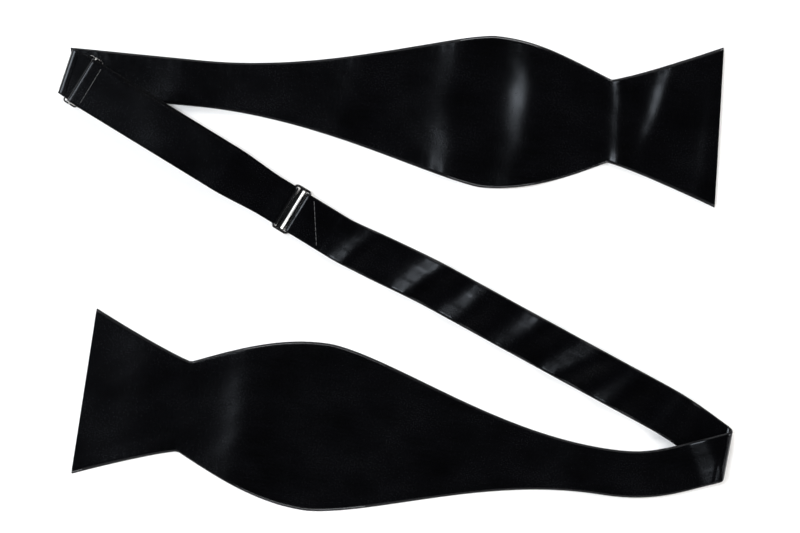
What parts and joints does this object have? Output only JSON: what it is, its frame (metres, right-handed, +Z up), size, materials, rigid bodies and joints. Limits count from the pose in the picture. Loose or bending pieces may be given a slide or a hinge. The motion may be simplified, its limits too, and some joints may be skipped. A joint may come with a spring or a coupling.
{
  "type": "self-tie bow tie",
  "caption": "Adjustable self-tie bow tie laid out in a Z: flared satin blades, folded neckband, slide adjuster and three-bar buckle.",
  "frame": {"origin": "centre of the laid-out tie's box, on the surface that it lies on", "axes": "+X along the tie's longer side, from the left fold to the right fold; +Y from the lower blade to the upper blade; +Z up, out of the upper faces of the cloth"},
  "size_m": [0.3034, 0.2136, 0.0076],
  "materials": {
    "satin": "black satin, softly glossy",
    "interlining": "plain woven canvas",
    "thread": "black sewing thread",
    "enamel": "black enamel",
    "nickel": "polished nickel"
  },
  "bodies": {
    "upper_half": {"upper_face": "satin", "upper_back": "satin", "upper_interlining": "interlining"},
    "strap": {"left_fold_band": "satin", "strap_outgoing": "satin"},
    "buckle_loop": {"strap_buckle_loop": "satin", "buckle_frame": "enamel", "buckle_bar": "nickel"},
    "slide": {"slide_frame": "enamel", "slide_bar": "nickel", "strap_slide_loop": "satin", "slide_tack": "thread", "strap_return": "satin"},
    "fixed_band": {"fixed_band_loop": "satin", "fixed_band_tack": "thread", "fixed_band_face": "satin", "fixed_band_back": "satin", "fixed_band_interlining": "interlining"},
    "lower_half": {"lower_face": "satin", "lower_back": "satin", "lower_interlining": "interlining", "right_fold_band": "satin"}
  },
  "joints": [
    {"name": "left_fold", "type": "hinge", "parent": "upper_half", "child": "strap", "pos_m": [-0.14665, 0.0908, 0.00217], "axis": [-0.3181, -0.948, 0], "range_deg": [0, 170], "deforming": ["left_fold_band"]},
    {"name": "length_adjust", "type": "slide", "parent": "strap", "child": "buckle_loop", "axis": [0.8526, -0.5225, 0], "range_m": [0, 0.045], "deforming": ["strap_outgoing"]},
    {"name": "slide_travel", "type": "slide", "parent": "buckle_loop", "child": "slide", "axis": [0.8526, -0.5225, 0], "range_m": [0, 0.045], "deforming": ["strap_return"]},
    {"name": "band_swing", "type": "hinge", "parent": "buckle_loop", "child": "fixed_band", "pos_m": [-0.04343, 0.027, 0.0017], "axis": [-0.5225, -0.8526, 0], "range_deg": [-45, 45]},
    {"name": "right_fold", "type": "hinge", "parent": "fixed_band", "child": "lower_half", "pos_m": [0.14681, -0.0812, 0.00305], "axis": [0.1874, 0.9823, 0], "range_deg": [0, 170], "deforming": ["right_fold_band"]}
  ],
  "couplings": [
    {"joint": "slide_travel", "follows": "length_adjust", "ratio": 1}
  ]
}
